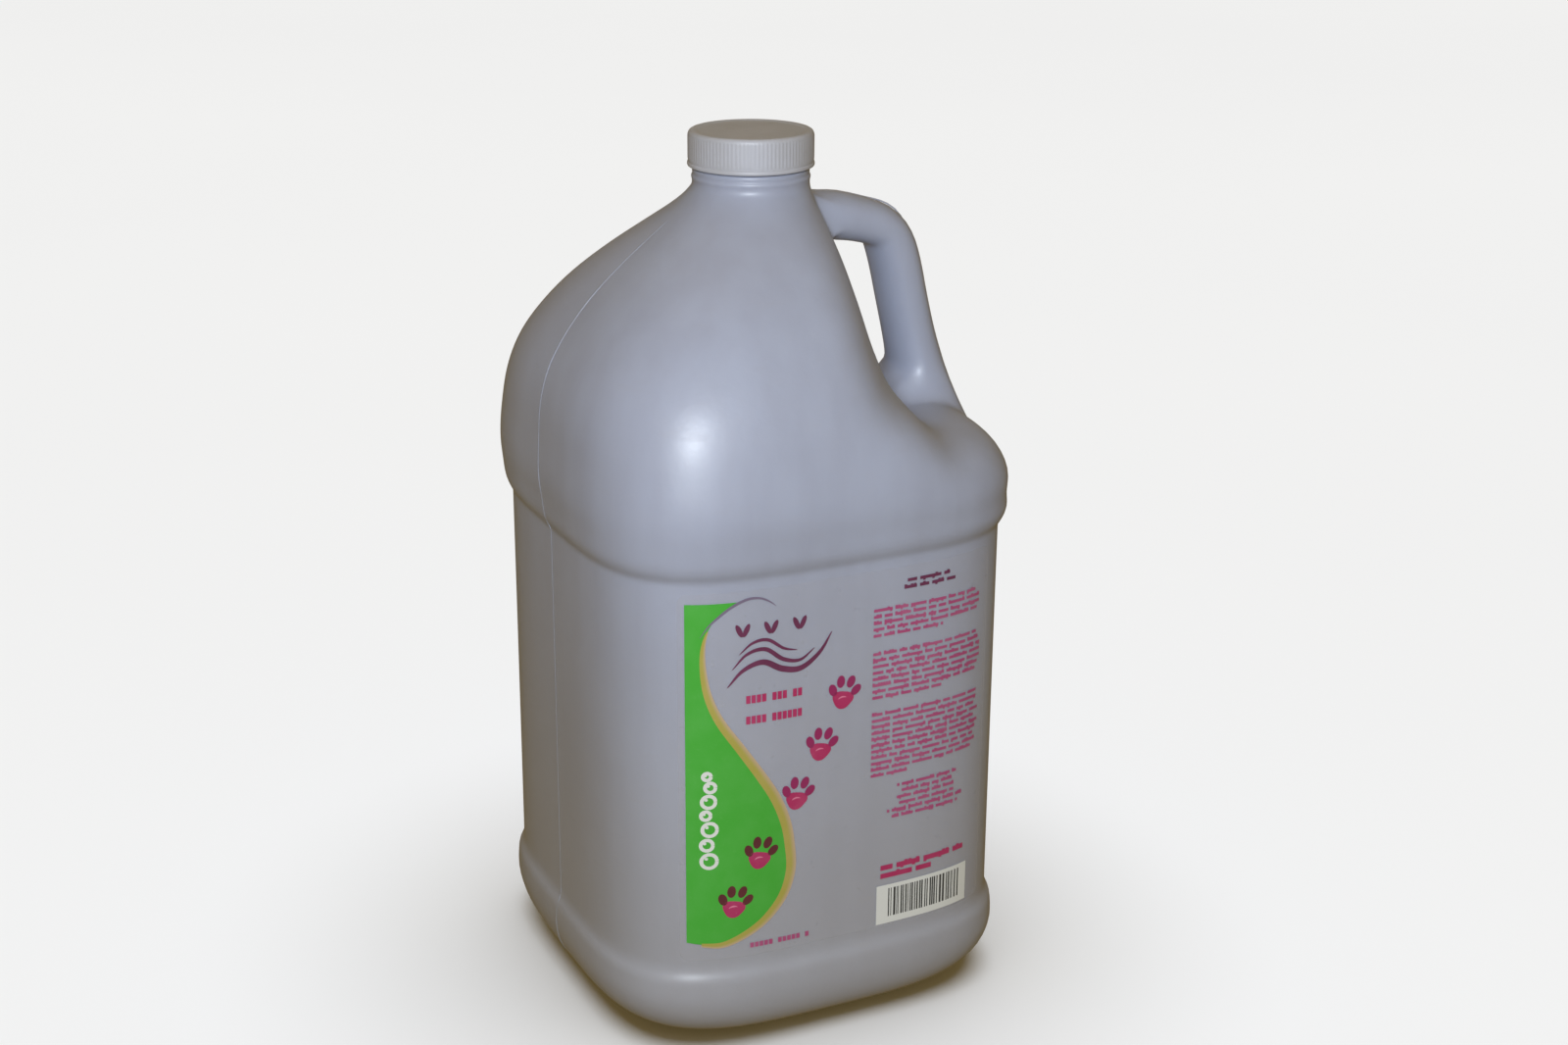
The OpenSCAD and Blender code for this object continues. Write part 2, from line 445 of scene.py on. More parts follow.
@dataclass(frozen=True)
class MilkyPlastic:
    """Blow-moulded polyethylene: cloudy, softly glossy, with flow streaks, a faint orange peel and
    painted shade that makes it darker and warmer towards the bottom.
    """

    name: str = "milky_plastic"
    cool: tuple[float, float, float] = (0.320, 0.345, 0.435)
    deep: tuple[float, float, float] = (0.270, 0.285, 0.355)
    # The colour of the painted shade on the lower part of the shell.
    warm: tuple[float, float, float] = (0.300, 0.288, 0.275)
    gloss: float = 0.40

    def make(self) -> bpy.types.Material:
        """Build the material."""
        paint = Paint(self.name)
        cloud = paint.noise(14, 3)
        streak = paint.noise(30, 4, (3.2, 0.22)).step(0.3, 0.75)
        scuff = paint.noise(210, 5, (0.35, 1.6)).step(0.60, 0.74)
        peel = paint.noise(620, 2)
        height = paint.axis("Z")
        # Painted shade: full at the base, fading out between 20 and 190 mm up.
        low = 1 - height.step(0.02, 0.19)
        share = cloud.step(0.32, 0.68) * 0.45 + streak * 0.3
        colour = paint.mix(share, self.cool, self.deep)
        # Mixes in the painted shade of the lower part, and a trace of scuffs.
        colour = paint.mix(low * 0.55 + scuff * 0.06, colour, self.warm)
        paint.set(
            Base_Color=colour,
            Roughness=self.gloss + cloud * 0.07 + scuff * 0.04 - streak * 0.03,
            IOR=1.5,
            Subsurface_Weight=0.22,
            Subsurface_Radius=(1.0, 0.82, 0.7),
            Subsurface_Scale=0.006,
            Specular_IOR_Level=0.5,
            Coat_Weight=0.05,
            Coat_Roughness=0.22,
        )
        paint.relief(peel * 0.55 + paint.noise(95, 3) * 1.6, 0.22, 0.00025)
        return paint.material


@dataclass(frozen=True)
class CapPlastic:
    """Moulded off-white polypropylene, satin, with a fine tool grain."""

    name: str = "cap_plastic"
    light: tuple[float, float, float] = (0.385, 0.392, 0.435)
    shade: tuple[float, float, float] = (0.335, 0.335, 0.355)
    gloss: float = 0.42

    def make(self) -> bpy.types.Material:
        """Build the material."""
        paint = Paint(self.name)
        cloud = paint.noise(60, 3).step(0.3, 0.7)
        grain = paint.noise(1500, 2)
        dust = paint.noise(330, 5).step(0.62, 0.72)
        colour = paint.mix(cloud * 0.6 + dust * 0.3, self.light, self.shade)
        paint.set(
            Base_Color=colour,
            Roughness=self.gloss + cloud * 0.08 + dust * 0.1,
            IOR=1.49,
            Subsurface_Weight=0.12,
            Subsurface_Radius=(1.0, 0.9, 0.8),
            Subsurface_Scale=0.003,
        )
        paint.relief(grain + paint.noise(160, 3) * 0.8, 0.2, 0.00012)
        return paint.material


@dataclass(frozen=True)
class FoamSheet:
    """White closed-cell foam with fine open cells on its face, painted darker in the cells' pits as
    shade.
    """

    name: str = "liner_foam_sheet"
    pale: tuple[float, float, float] = (0.86, 0.86, 0.83)
    # The colour of the painted shade in the cells' pits.
    shade: tuple[float, float, float] = (0.70, 0.70, 0.66)

    def make(self) -> bpy.types.Material:
        """Build the material."""
        paint = Paint(self.name)
        cells = paint.add(
            "ShaderNodeTexVoronoi", {}, {"Vector": paint.spot.outputs["Object"], "Scale": 2200}
        )
        # The cells' pits: sunk by the bump below, and painted darker as shade.
        pit = Signal(paint, cells.outputs["Distance"]).step(0.1, 0.6)
        paint.set(
            Base_Color=paint.mix(pit * 0.7 + paint.noise(80) * 0.3, self.shade, self.pale),
            Roughness=0.72 + pit * 0.15,
            Subsurface_Weight=0.1,
            Subsurface_Scale=0.002,
        )
        paint.relief(pit, 0.5, 0.0001)
        return paint.material


@dataclass(frozen=True)
class ClearFilm:
    """Clear self-adhesive film: almost unseen, a little glossier and paler than the shell."""

    name: str = "clear_film"
    tint: tuple[float, float, float] = (0.52, 0.52, 0.58)
    haze: tuple[float, float, float] = (0.58, 0.58, 0.61)
    cover: float = 0.05

    def make(self) -> bpy.types.Material:
        """Build the material."""
        paint = Paint(self.name)
        haze = paint.noise(35, 3)
        bubble = paint.noise(240, 3).step(0.66, 0.74)
        paint.set(
            Base_Color=paint.mix(haze, self.tint, self.haze),
            Roughness=0.24 + haze * 0.1 + bubble * 0.15,
            Alpha=self.cover + haze * 0.06 + bubble * 0.05,
            IOR=1.5,
        )
        paint.relief(paint.noise(70, 2) + bubble * 0.2, 0.15, 0.0003)
        return paint.material


@dataclass(frozen=True)
class Ink:
    """One printing ink on the film: a colour with the press's own mottle and pinholes."""

    name: str
    colour: tuple[float, float, float]
    thin: tuple[float, float, float]
    mottle: float = 0.5
    gloss: float = 0.38
    edge: Optional[tuple[float, float, float]] = None

    def make(self) -> bpy.types.Material:
        """Build the material."""
        paint = Paint(self.name)
        cloud = paint.noise(110, 4).step(0.3, 0.75)
        pinhole = paint.noise(1400, 2).step(0.60, 0.75)
        share = (cloud * 0.6 + pinhole * 0.5) * self.mottle
        colour = paint.mix(share, self.colour, self.thin)
        if self.edge:
            rim = paint.axis("Y", "UV").step(0.45, 1.0)
            colour = paint.mix(rim, colour, self.edge)
        paint.set(
            Base_Color=colour,
            Roughness=self.gloss + cloud * 0.1 + pinhole * 0.1,
            IOR=1.48,
        )
        paint.relief(cloud * 0.6 + pinhole, 0.12, 0.00006)
        return paint.material


@dataclass(frozen=True)
class PaleFloor:
    """A plain pale studio floor."""

    name: str = "pale_floor"
    pale: tuple[float, float, float] = (0.90, 0.90, 0.89)
    shade: tuple[float, float, float] = (0.86, 0.86, 0.86)

    def make(self) -> bpy.types.Material:
        """Build the material."""
        paint = Paint(self.name)
        cloud = paint.noise(0.8, 3)
        paint.set(
            Base_Color=paint.mix(cloud, self.shade, self.pale),
            Roughness=0.8 + cloud * 0.1,
        )
        return paint.material


# ---- The shell ----


@dataclass
class JugShell:
    """The bottle: base, waist, dome, hollow handle and threaded neck, in one thin wall."""

    panel_half: float = PANEL_HALF
    shoulder_half: float = 75.3
    bumper_half: float = 73.4
    bumper_h: float = 33.0
    panel_top: float = 163.0
    dome_h: float = 107.0
    base_hollow: float = 4.0
    wall: float = 1.2
    neck_r: float = 19.0
    grip_t: float = 16.5
    grip_w: float = 22.0
    dip: float = 10.5
    dip_reach: float = 12.5
    dip_fade: float = 0.45
    oval: float = 0.88
    columns: int = 96

    def __post_init__(self) -> None:
        """Work out the outline's table: height, left, right, front, and two squarenesses."""
        panel, bumper, top = self.panel_half, self.bumper_half, self.panel_top
        rows = [
            (0, bumper - 15, 3.4),
            (2.5, bumper - 8.5, 3.6),
            (9, bumper - 2.4, 3.8),
            (17, bumper, 4),
            (self.bumper_h - 9, bumper, 4),
            (self.bumper_h - 6.3, bumper - 0.45, 4),
            (self.bumper_h - 4.4, panel + 0.5, 4),
            (self.bumper_h - 2.2, panel + 0.06, 4),
            (self.bumper_h, panel, 4),
            (top - 1, panel, 4),
            (top + 0.5, panel + 0.25, 4),
            (top + 2.3, panel + 1.2, 4),
            (top + 4.4, panel + 2.0, 4),
            (top + 6.8, panel + 2.45, 4),
        ]
        self.levels = [(z, r, r, r, n, n) for z, r, n in rows]
        room = self.shoulder_half - self.neck_r
        shares = [
            (0.09, 0.98, 0.97, 0.98, 4.0, 3.9),
            (0.17, 1.00, 1.00, 1.00, 3.8, 3.5),
            (0.27, 0.995, 0.86, 0.98, 3.7, 3.2),
            (0.42, 0.97, 0.35, 0.92, 3.4, 2.2),
            (0.54, 0.89, 0.22, 0.83, 3.2, 2.0),
            (0.68, 0.70, 0.15, 0.66, 2.9, 2.0),
            (0.79, 0.48, 0.11, 0.46, 2.6, 2.0),
            (0.89, 0.24, 0.06, 0.24, 2.2, 2.0),
            (0.95, 0.09, 0.02, 0.09, 2.0, 2.0),
            (1.00, 0.0, 0.0, 0.0, 2.0, 2.0),
        ]
        for share, left, right, front, square_left, square_right in shares:
            reach = [self.neck_r + room * s for s in (left, right, front)]
            self.levels.append((top + share * self.dome_h, *reach, square_left, square_right))
        self.grip = [
            (0.00, -0.10, 0.890, 0.60, 0.45),
            (0.10, 0.12, 0.888, 0.52, 0.45),
            (0.20, 0.34, 0.866, 0.46, 0.46),
            (0.28, 0.515, 0.830, 0.46, 0.48),
            (0.36, 0.592, 0.748, 0.47, 0.50),
            (0.50, 0.655, 0.610, 0.47, 0.50),
            (0.63, 0.715, 0.480, 0.48, 0.51),
            (0.74, 0.760, 0.380, 0.54, 0.58),
            (0.82, 0.745, 0.310, 0.78, 0.78),
            (0.90, 0.670, 0.240, 1.15, 1.10),
        ]

    def ring(self, z: float) -> Place:
        """The body's outline at a height above the base."""
        level = self.outline(z, *[through(self.levels, z, k) for k in range(1, 6)])
        return lambda column: self.dipped(level(column))

    def dipped(self, point: Vector) -> Vector:
        """A point of the outline, pressed in where it lies in the valley beside the handle's foot."""
        side = math.copysign(1.0, point.y)
        start, end = Vector((45, 13 * side, 204)), Vector((40, 62 * side, 189))
        run = end - start
        share = max(0.0, min(1.0, (point - start).dot(run) / run.length_squared))
        gap = (point - start.lerp(end, share)).length
        depth = self.dip * (1 - self.dip_fade * share) * math.exp(-((gap / self.dip_reach) ** 2))
        return point - Vector((0.35, 0.0, 0.94)) * depth

    def outline(
        self, z: float, left: float, right: float, front: float, square_l: float, square_r: float
    ) -> Place:
        """The place of each column on one rounded square ring.

        Args:
            z: its height.
            left, right, front: how far it reaches.
            square_l, square_r: how square its two halves are; 2 is round.

        Returns:
            A place for each column.
        """

        def place(column: int) -> Vector:
            """One point of the ring."""
            a = math.tau * column / self.columns
            c, s = math.cos(a), math.sin(a)
            reach, square = (left, square_l) if c < 0 else (right, square_r)
            r = (abs(c / reach) ** square + abs(s / front) ** square) ** (-1 / square)
            return Vector((r * c, r * s, z))

        return place

    def handle_centre(self, u: float) -> Vector:
        """The middle of the handle a share u of the way along it."""
        room = self.shoulder_half - self.neck_r
        x = self.neck_r + through(self.grip, u, 1) * room
        return Vector((x, 0.0, self.panel_top + through(self.grip, u, 2) * self.dome_h))

    def handle_point(self, u: float, turn: float) -> Vector:
        """A point on the handle's skin.

        Args:
            u: the share of the way along the handle.
            turn: the angle round it, from its outer side towards +Y.

        Returns:
            The point, in millimetres.
        """
        run = (self.handle_centre(u + 0.01) - self.handle_centre(u - 0.01)).normalized()
        out = Vector((-run.z, 0.0, run.x))
        thick = through(self.grip, u, 3) * self.grip_t
        wide = through(self.grip, u, 4) * self.grip_w
        c, s = math.cos(turn), math.sin(turn)
        c = math.copysign(abs(c) ** self.oval, c)
        s = math.copysign(abs(s) ** self.oval, s)
        return self.handle_centre(u) + out * (thick * c) + Vector((0.0, wide * s, 0.0))

    def build(self) -> bpy.types.Object:
        """Grow the shell from the middle of its base to the rim of its neck, with the handle."""
        loft = self.base()
        bumper = [0.7, 2.5, 5, 8, 11.5, 15, 18.5, 21.5, 23.4, 24.8, 26, 27.2, 28.4, 29.8, 31.4, 33]
        panel = [38, 60, 85, 110, 135, 155, 160, 161.9]
        waist = [163, 164.1, 165.3, 166.6, 168, 170, 173, 176.5]
        handle_feet = [180, 184.5, 188.6, 191.9, 194.4, 196.6, 198.8, 201, 203]
        dome = [206, 209.5, 213.5, 218, 222.5, 227, 231.5, 236, 240.5, 244.5, 248]
        handle_roots = [251, 254.75, 258.5, 262.25, 266]
        self.band(loft, bumper + panel + waist)
        low = self.band(loft, handle_feet)
        self.band(loft, dome)
        high = self.band(loft, handle_roots)
        self.band(loft, [268, 270])
        top = loft.row
        loft.close(0)
        self.grow_handle(loft, low, high)
        self.grow_wall(loft, top)
        shell = loft.finished()
        modify(shell, "SUBSURF", levels=1, render_levels=1)
        smooth(shell, 50)
        return shell

    def base(self) -> Loft:
        """Start the shell: the hollow under it, from its middle out to the standing rim."""
        hollow, foot, middle = self.base_hollow, self.bumper_half, 9
        start = self.outline(hollow, middle, middle, middle, 2.2, 2.2)
        loft = Loft("jug_shell", self.columns, start)
        for reach, z, square in (
            (26.0, hollow, 2.7),
            (foot - 29, hollow, 3.0),
            (foot - 26, hollow - 0.25, 3.0),
            (foot - 22.5, hollow * 0.5, 3.0),
            (foot - 19.5, 0.3, 3.1),
            (foot - 17.5, 0.0, 3.2),
            (foot - 15, 0.0, 3.4),
        ):
            loft.grow(self.outline(z, reach, reach, reach, square, square))
        return loft

    def band(self, loft: Loft, heights: Sequence[float]) -> range:
        """Grow rings at these heights and return their rows."""
        first = loft.row + 1
        for z in heights:
            loft.grow(self.ring(z))
        return range(first, loft.row + 1)

    def side(self, column: int) -> int:
        """The column counted from the handle's side, negative towards -Y."""
        return column if column <= self.columns // 2 else column - self.columns

    def grow_handle(self, loft: Loft, low: range, high: range) -> None:
        """Open the shell at both roots and grow the handle from the neck to the shoulder.

        Args:
            loft: the shell so far.
            low: rows of the shoulder's opening, from its foot up.
            high: rows of the neck's opening, from its foot up.
        """
        low_half, high_half = 4, 6
        for rows, half in ((low, low_half), (high, high_half)):
            loft.choose(lambda c, r: abs(self.side(c)) <= half and r in rows)
            bpy.ops.mesh.delete(type="ONLY_FACE")
            mid = range(rows.start + 1, rows.stop - 1)
            loft.choose(lambda c, r: abs(self.side(c)) < half and r in mid)
            bpy.ops.mesh.delete(type="VERT")
        start = self.loop(list(reversed(high)), high_half)
        end = self.loop(list(low), low_half)
        order = {key: i for i, key in enumerate(start)}
        count = len(start)
        mesh, column, row = loft.mesh, loft.column_of, loft.row_of
        landing = {}
        for vert in mesh.verts:
            key = (self.side(vert[column]), vert[row])
            if key in end:
                landing[end.index(key)] = vert.co.copy()
        lap = loft.mesh.verts.layers.int.new("lap")
        mesh, column, row = loft.mesh, loft.column_of, loft.row_of
        for vert in mesh.verts:
            vert[lap] = order.get((self.side(vert[column]), vert[row]), -1)
            vert.select = vert[lap] >= 0
        mesh.select_flush_mode()
        bmesh.update_edit_mesh(loft.piece.data)
        bend = [0.125, 0.16, 0.20, 0.24, 0.28, 0.32, 0.36]
        grip = [0.42, 0.48, 0.54, 0.60, 0.66, 0.71, 0.75]
        for u in bend + grip:
            self.lay_lap(loft, lambda i: self.handle_point(u, math.tau * i / count) * MM)
        self.lay_lap(loft, lambda i: landing[i])
        bpy.ops.mesh.select_all(action="SELECT")
        bpy.ops.mesh.remove_doubles(threshold=0.02 * MM)
        loft.outward()

    def lay_lap(self, loft: Loft, place: Callable[[int], Vector]) -> None:
        """Extrude the handle's open end and put the new lap in place, in metres."""
        bpy.ops.mesh.extrude_region_move()
        loft.row += 1
        mesh, row = loft.mesh, loft.row_of
        lap = mesh.verts.layers.int["lap"]
        for vert in mesh.verts:
            if vert.select:
                vert.co = place(vert[lap])
                vert[row] = loft.row
        bmesh.update_edit_mesh(loft.piece.data)

    @staticmethod
    def loop(rows: Sequence[int], half: int) -> list[tuple[int, int]]:
        """The rim of an opening as (side column, row), from its outer middle towards +Y and round.

        Args:
            rows: the opening's rows, from its outer side to its inner side.
            half: how many columns it spans to each side.
        """
        way = [(c, rows[0]) for c in range(0, half + 1)]
        way += [(half, r) for r in rows[1:-1]]
        way += [(c, rows[-1]) for c in range(half, -1, -1)]
        back = [(-c, r) for c, r in reversed(way[1:-1])]
        return way + back

    def grow_wall(self, loft: Loft, top: int) -> None:
        """Double the skin inwards, and grow the neck's finish and bore from the outer skin.

        The bore's last ring ends 0.2 to 0.9 mm from the top ring of the inner skin, which is too
        far to weld. So the two skins stay apart there, and outward() turns the faces of the inner
        one away from the hollow's middle too.

        Args:
            loft: the outer skin, with its handle.
            top: the row at the foot of the neck's finish.
        """
        bpy.ops.mesh.select_all(action="SELECT")
        bpy.ops.mesh.duplicate()
        bpy.ops.transform.shrink_fatten(value=-self.wall * MM, use_even_offset=False)
        bpy.ops.mesh.flip_normals()
        skin_rows = 1000
        mesh, row = loft.mesh, loft.row_of
        for vert in mesh.verts:
            if vert.select:
                vert[row] += skin_rows
        bmesh.update_edit_mesh(loft.piece.data)
        loft.choose(lambda _, r: r == top)
        loft.row = 2 * skin_rows
        bead = [(19.0, 271.6), (19.06, 272.1), (19.24, 272.6), (19.28, 273.0), (19.2, 273.4)]
        collar = [(18.95, 273.8), (18.85, 274.1), (18.95, 274.5), (19.0, 275.1), (18.86, 275.7)]
        step = [(18.3, 276.0), (17.8, 276.0), (17.5, 276.15), (17.45, 276.6)]
        finish = [(17.45, 279.5), (17.45, 282.5), (17.45, 284.6)]
        rim = [(17.3, 285.3), (16.8, 285.6), (16.0, 285.6), (15.45, 285.55), (15.25, 285.3)]
        bore = [(15.25, 282), (15.25, 277), (15.25, 273.6), (15.4, 273.0), (17.0, 271.0)]
        inside = [(self.neck_r - self.wall, 270.0)]
        for radius, z in bead + collar + step + finish + rim + bore + inside:
            loft.grow(turned(radius, z, self.columns))
        bpy.ops.mesh.select_all(action="SELECT")
        bpy.ops.mesh.remove_doubles(threshold=0.08 * MM)
        loft.outward()


@dataclass
class HelixThread:
    """One closed ridge of screw thread, fading out at both ends."""

    name: str
    root: float
    crest: float
    foot: float
    start: float
    turns: float
    pitch: float = THREAD_PITCH
    crest_width: float = 0.9
    flank: float = FLANK_ANGLE
    sunk: float = 0.25
    softness: float = 0.14
    facets: int = 60
    fade_steps: int = 6

    def build(self) -> bpy.types.Object:
        """Grow the ridge's section along its helix."""
        steps = round(self.turns * self.facets)
        loft = Loft(self.name, 8, self.section(0, steps))
        for k in range(1, steps + 1):
            loft.grow(self.section(k, steps))
        loft.cap_ends()
        ridge = loft.finished()
        smooth(ridge, 40)
        return ridge

    def section(self, k: int, steps: int) -> Place:
        """The ridge's section at step k of all its steps."""
        outward = math.copysign(1.0, self.crest - self.root)
        depth, sunk, soft = abs(self.crest - self.root), self.sunk, self.softness
        fade = max(0.04, min(1.0, k / self.fade_steps, (steps - k) / self.fade_steps))
        reach = depth * fade
        half = self.crest_width / 2
        wide = half + (depth + sunk) * math.tan(math.radians(self.flank))
        corners = [
            (reach, half - soft), (reach - soft, half), (-sunk * 0.4, wide - 0.1), (-sunk, wide - 0.1),
            (-sunk, 0.1 - wide), (-sunk * 0.4, 0.1 - wide), (reach - soft, -half), (reach, soft - half),
        ]
        turn = math.radians(self.start + 360 * k / self.facets)
        rise = self.foot + self.pitch * k / self.facets + self.pitch * self.start / 360

        def place(column: int) -> Vector:
            """One point of the section."""
            out, up = corners[column]
            r = self.root + outward * out
            return Vector((r * math.cos(turn), r * math.sin(turn), rise + up))

        return place


@dataclass
class Bottle:
    """The shell with its thread and the mould's seams."""

    shell: JugShell
    thread: HelixThread
    seam_r: float = 0.27
    seam_sunk: float = 0.55
    seam_sides: int = 8
    fade_steps: int = 6
    pinch_half: float = 40.0
    pinch_r: float = 0.7

    def build(self, plastic: bpy.types.Material) -> None:
        """Build and dress the bottle's own pieces."""
        jug = self.shell.build()
        pieces = [jug, self.thread.build(), *self.seams(), self.tail()]
        for piece in pieces:
            dress(piece, plastic, Body.BOTTLE, Slot.SHELL)
        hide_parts("bottle_body", "handle", "neck_finish")

    def seams(self) -> list[bpy.types.Object]:
        """The mould's parting line, left proud on both sides of the shell.

        Returns:
            A thin bead up each side and one along the handle.
        """
        shell = self.shell
        seam_foot, step = 4, 2.6
        beads = []
        for name, column, rings in (
            ("parting_seam_left", shell.columns // 2, 102),
            ("parting_seam_right", 0, 69),
        ):
            path = [shell.ring(seam_foot + step * i)(column) for i in range(rings)]
            beads.append(self.bead(name, path))
        shares = [0.16 + 0.015 * i for i in range(44)]
        beads.append(self.bead("parting_seam_handle", [shell.handle_point(u, 0) for u in shares]))
        return beads

    def bead(self, name: str, path: Sequence[Vector]) -> bpy.types.Object:
        """A thin round bead along a path in millimetres, with its middle sunk into the wall."""
        count = len(path)

        def section(k: int) -> Place:
            """The bead's section at point k of the path."""
            run = path[min(k + 1, count - 1)] - path[max(k - 1, 0)]
            out = Vector((-run.z, 0, run.x)).normalized()
            out = -out if run.z > 0 and path[k].x > 0 or out.x > 0 > path[k].x else out
            size = self.seam_r * min(1.0, 0.15 + min(k, count - 1 - k) / self.fade_steps)
            centre = path[k] - out * (size * self.seam_sunk)

            def place(column: int) -> Vector:
                """One point of the section."""
                a = math.tau * column / self.seam_sides
                wide = Vector((0, size * 1.3 * math.sin(a), 0))
                return centre + out * (size * math.cos(a)) + wide

            return place

        loft = Loft(name, self.seam_sides, section(0))
        for k in range(1, count):
            loft.grow(section(k))
        loft.cap_ends()
        bead = loft.finished()
        smooth(bead, 60)
        return bead

    def tail(self) -> bpy.types.Object:
        """The pinched-off ridge across the hollow of the base."""
        half, steps = self.pinch_half, 40
        z = self.shell.base_hollow + 0.35
        path = [half * math.sin(math.pi * (i / steps - 0.5)) for i in range(steps + 1)]

        def section(k: int) -> Place:
            """The ridge's section at point k."""
            size = self.pinch_r * math.sqrt(max(0.02, 1 - (path[k] / half) ** 2))

            def place(column: int) -> Vector:
                """One point of the section."""
                a = math.tau * column / self.seam_sides
                return Vector((path[k], size * 1.6 * math.cos(a), z + size * math.sin(a)))

            return place

        loft = Loft("base_pinch_seam", self.seam_sides, section(0))
        for k in range(1, steps + 1):
            loft.grow(section(k))
        loft.cap_ends()
        ridge = loft.finished()
        smooth(ridge, 60)
        return ridge


@dataclass
class ScrewCap:
    """The ribbed cap with its inner thread, over the foam liner."""

    bore: float = 19.0
    thread_depth: float = 1.25
    radius: float = 20.2
    rib: float = 0.16
    ribs: int = 96
    foot: float = 276.4
    ceiling: float = 286.5
    top: float = 287.8

    def build(self, plastic: bpy.types.Material, foam: bpy.types.Material) -> None:
        """Build and dress the cap, and dress the liner under it."""
        cap = self.skirt()
        crest = self.bore - self.thread_depth
        drop = 0.9 + 0.95 * math.tan(math.radians(FLANK_ANGLE)) + 0.3
        thread = HelixThread("cap_thread", self.bore, crest, THREAD_FOOT - drop, 200, 1.2).build()
        for piece in (cap, thread):
            dress(piece, plastic, Body.CAP, Slot.CAP)
        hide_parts("screw_cap")
        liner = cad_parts["cap_liner"]
        liner.data.materials.clear()
        liner.data.materials.append(foam)

    def skirt(self) -> bpy.types.Object:
        """Grow the cap from the middle of its ceiling, down inside, out and up to its top.

        Each row holds a radius, a height and the share of the ribs' height that stands there.
        """
        per_rib = 4
        columns = self.ribs * per_rib
        bore, out, foot, top, ceiling = self.bore, self.radius, self.foot, self.top, self.ceiling
        inside = [(18.4, ceiling), (bore - 0.15, ceiling - 0.02), (bore, ceiling - 0.2)]
        inside += [(bore, 283.5), (bore, 280), (bore, foot + 0.5), (bore + 0.12, foot + 0.1)]
        lip = [(bore + 0.3, foot), (out - 0.1, foot), (out + 0.2, foot + 0.12), (out + 0.32, foot + 0.4)]
        lip += [(out + 0.32, foot + 1.0), (out + 0.2, foot + 1.25), (out, foot + 1.4), (out, foot + 1.75)]
        ribbed = [(foot + 2.2, 0.8), (foot + 2.7, 1), (foot + 5, 1), (foot + 7.5, 1)]
        ribbed += [(top - 1.9, 1), (top - 1.5, 0.75), (top - 1.15, 0.2)]
        shoulder = [(out - 0.12, top - 0.75), (out - 0.42, top - 0.33), (out - 0.85, top - 0.08)]
        crown = [(out - 1.35, top), (out - 2.3, top), (out - 2.7, top - 0.08), (out - 2.95, top - 0.22)]
        crown += [(out - 3.5, top - 0.25), (12, top - 0.25), (6, top - 0.25)]
        rows = [(r, z, 0) for r, z in inside + lip]
        rows += [(out, z, share) for z, share in ribbed]
        rows += [(r, z, 0) for r, z in shoulder + crown]

        def ring(radius: float, z: float, share: float) -> Place:
            """One ring, with the ribs standing out by a share of their height."""

            def place(column: int) -> Vector:
                """One point of the ring."""
                a = math.tau * column / columns
                wave = 0.5 + 0.5 * math.cos(math.tau * column / per_rib)
                r = radius + self.rib * share * wave
                return Vector((r * math.cos(a), r * math.sin(a), z))

            return place

        loft = Loft("screw_cap_shell", columns, ring(9, self.ceiling, 0))
        for row in rows:
            loft.grow(ring(*row))
        last = loft.row
        loft.close(0)
        loft.close(last)
        loft.outward()
        cap = loft.finished()
        smooth(cap, 48)
        return cap


# ---- The label ----


@dataclass
class Panel:
    """The front panel that the label lies on."""

    half: float = PANEL_HALF
    square: float = PANEL_SQUARE

    def at(self, x: float, z: float, lift: float) -> Vector:
        """The point of the panel at (x, z), lifted off it, in millimetres."""
        depth = self.half * (1 - abs(x / self.half) ** self.square) ** (1 / self.square)
        slope = (abs(x) / depth) ** (self.square - 1)
        out = Vector((math.copysign(slope, x), -1.0, 0.0)).normalized()
        return Vector((x, -depth, z)) + out * lift


class Sheet:
    """A thin printed patch on the panel, shaped from a grid and given the ink's thickness."""

    def __init__(self, name: str, across_count: int, up_count: int) -> None:
        """Start a grid with this many faces across and up."""
        put_down()
        bpy.ops.mesh.primitive_grid_add(
            x_subdivisions=across_count, y_subdivisions=up_count, size=2, location=(0, 0, 0)
        )
        self.piece = bpy.context.active_object
        self.piece.name = name
        bpy.ops.object.mode_set(mode="EDIT")

    def lay(self, spot: Callable[[float, float], Point], panel: Panel, lift: float) -> None:
        """Lay the grid on the panel.

        Args:
            spot: where a share across and a share up goes, as (x, z).
            panel: what it lies on.
            lift: how far its face stands off the panel.
        """
        mesh = bmesh.from_edit_mesh(self.piece.data)
        for vert in mesh.verts:
            u, v = (vert.co.x + 1) / 2, (vert.co.y + 1) / 2
            x, z = spot(u, v)
            vert.co = panel.at(x, z, lift) * MM
        bmesh.update_edit_mesh(self.piece.data)

    def keep(self, wanted: Callable[[float, float], bool]) -> None:
        """Keep only the faces whose middle, as shares across and up, is wanted."""
        bpy.ops.mesh.select_mode(type="FACE")
        bpy.ops.mesh.select_all(action="DESELECT")
        mesh = bmesh.from_edit_mesh(self.piece.data)
        for face in mesh.faces:
            middle = face.calc_center_median()
            face.select = not wanted((middle.x + 1) / 2, (middle.y + 1) / 2)
        mesh.select_flush_mode()
        bmesh.update_edit_mesh(self.piece.data)
        bpy.ops.mesh.delete(type="FACE")

    def finished(self, thick: float = 0.05) -> bpy.types.Object:
        """Face it outwards, give it its thickness and hand it over."""
        mesh = bmesh.from_edit_mesh(self.piece.data)
        mesh.normal_update()
        if sum(face.normal.y * face.calc_area() for face in mesh.faces) > 0:
            bpy.ops.mesh.select_all(action="SELECT")
            bpy.ops.mesh.flip_normals()
        put_down()
        modify(self.piece, "SOLIDIFY", thickness=thick * MM, offset=-1.0)
        smooth(self.piece, 30)
        return self.piece


